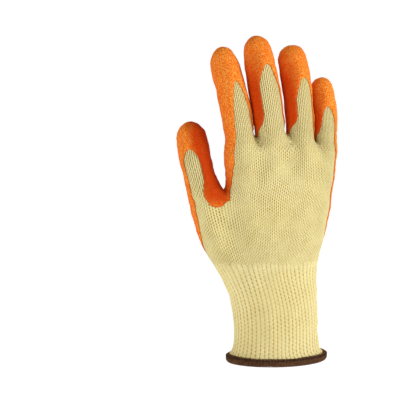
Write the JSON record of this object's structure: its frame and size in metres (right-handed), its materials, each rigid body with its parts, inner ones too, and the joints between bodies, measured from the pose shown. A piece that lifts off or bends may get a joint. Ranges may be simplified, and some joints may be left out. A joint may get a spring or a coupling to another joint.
{
  "type": "latex coated knitted work glove",
  "caption": "Right-hand knitted work glove with a crinkled latex coat on palm, fingertips and thumb, a bare knit back, a ribbed cuff and an overlocked hem.",
  "frame": {"origin": "middle of the cuff's opening, in the plane of the hem's lower edge", "axes": "+Z from the wrist to the fingertips, +Y from the back of the hand to the palm, +X from the thumb's side to the little finger's side"},
  "size_m": [0.1291, 0.054, 0.2579],
  "materials": {
    "knit": "pale yellow cotton and polyester knit, matt",
    "latex": "orange latex with a fine crinkle, satin",
    "hem_thread": "brown overlock thread, matt"
  },
  "bodies": {
    "root": {"rib_cuff": "knit", "knit_hand": "knit", "knit_index_finger": "knit", "knit_middle_finger": "knit", "knit_ring_finger": "knit", "knit_little_finger": "knit", "knit_thumb": "knit", "latex_coating": "latex", "overlock_hem": "hem_thread"}
  },
  "joints": []
}
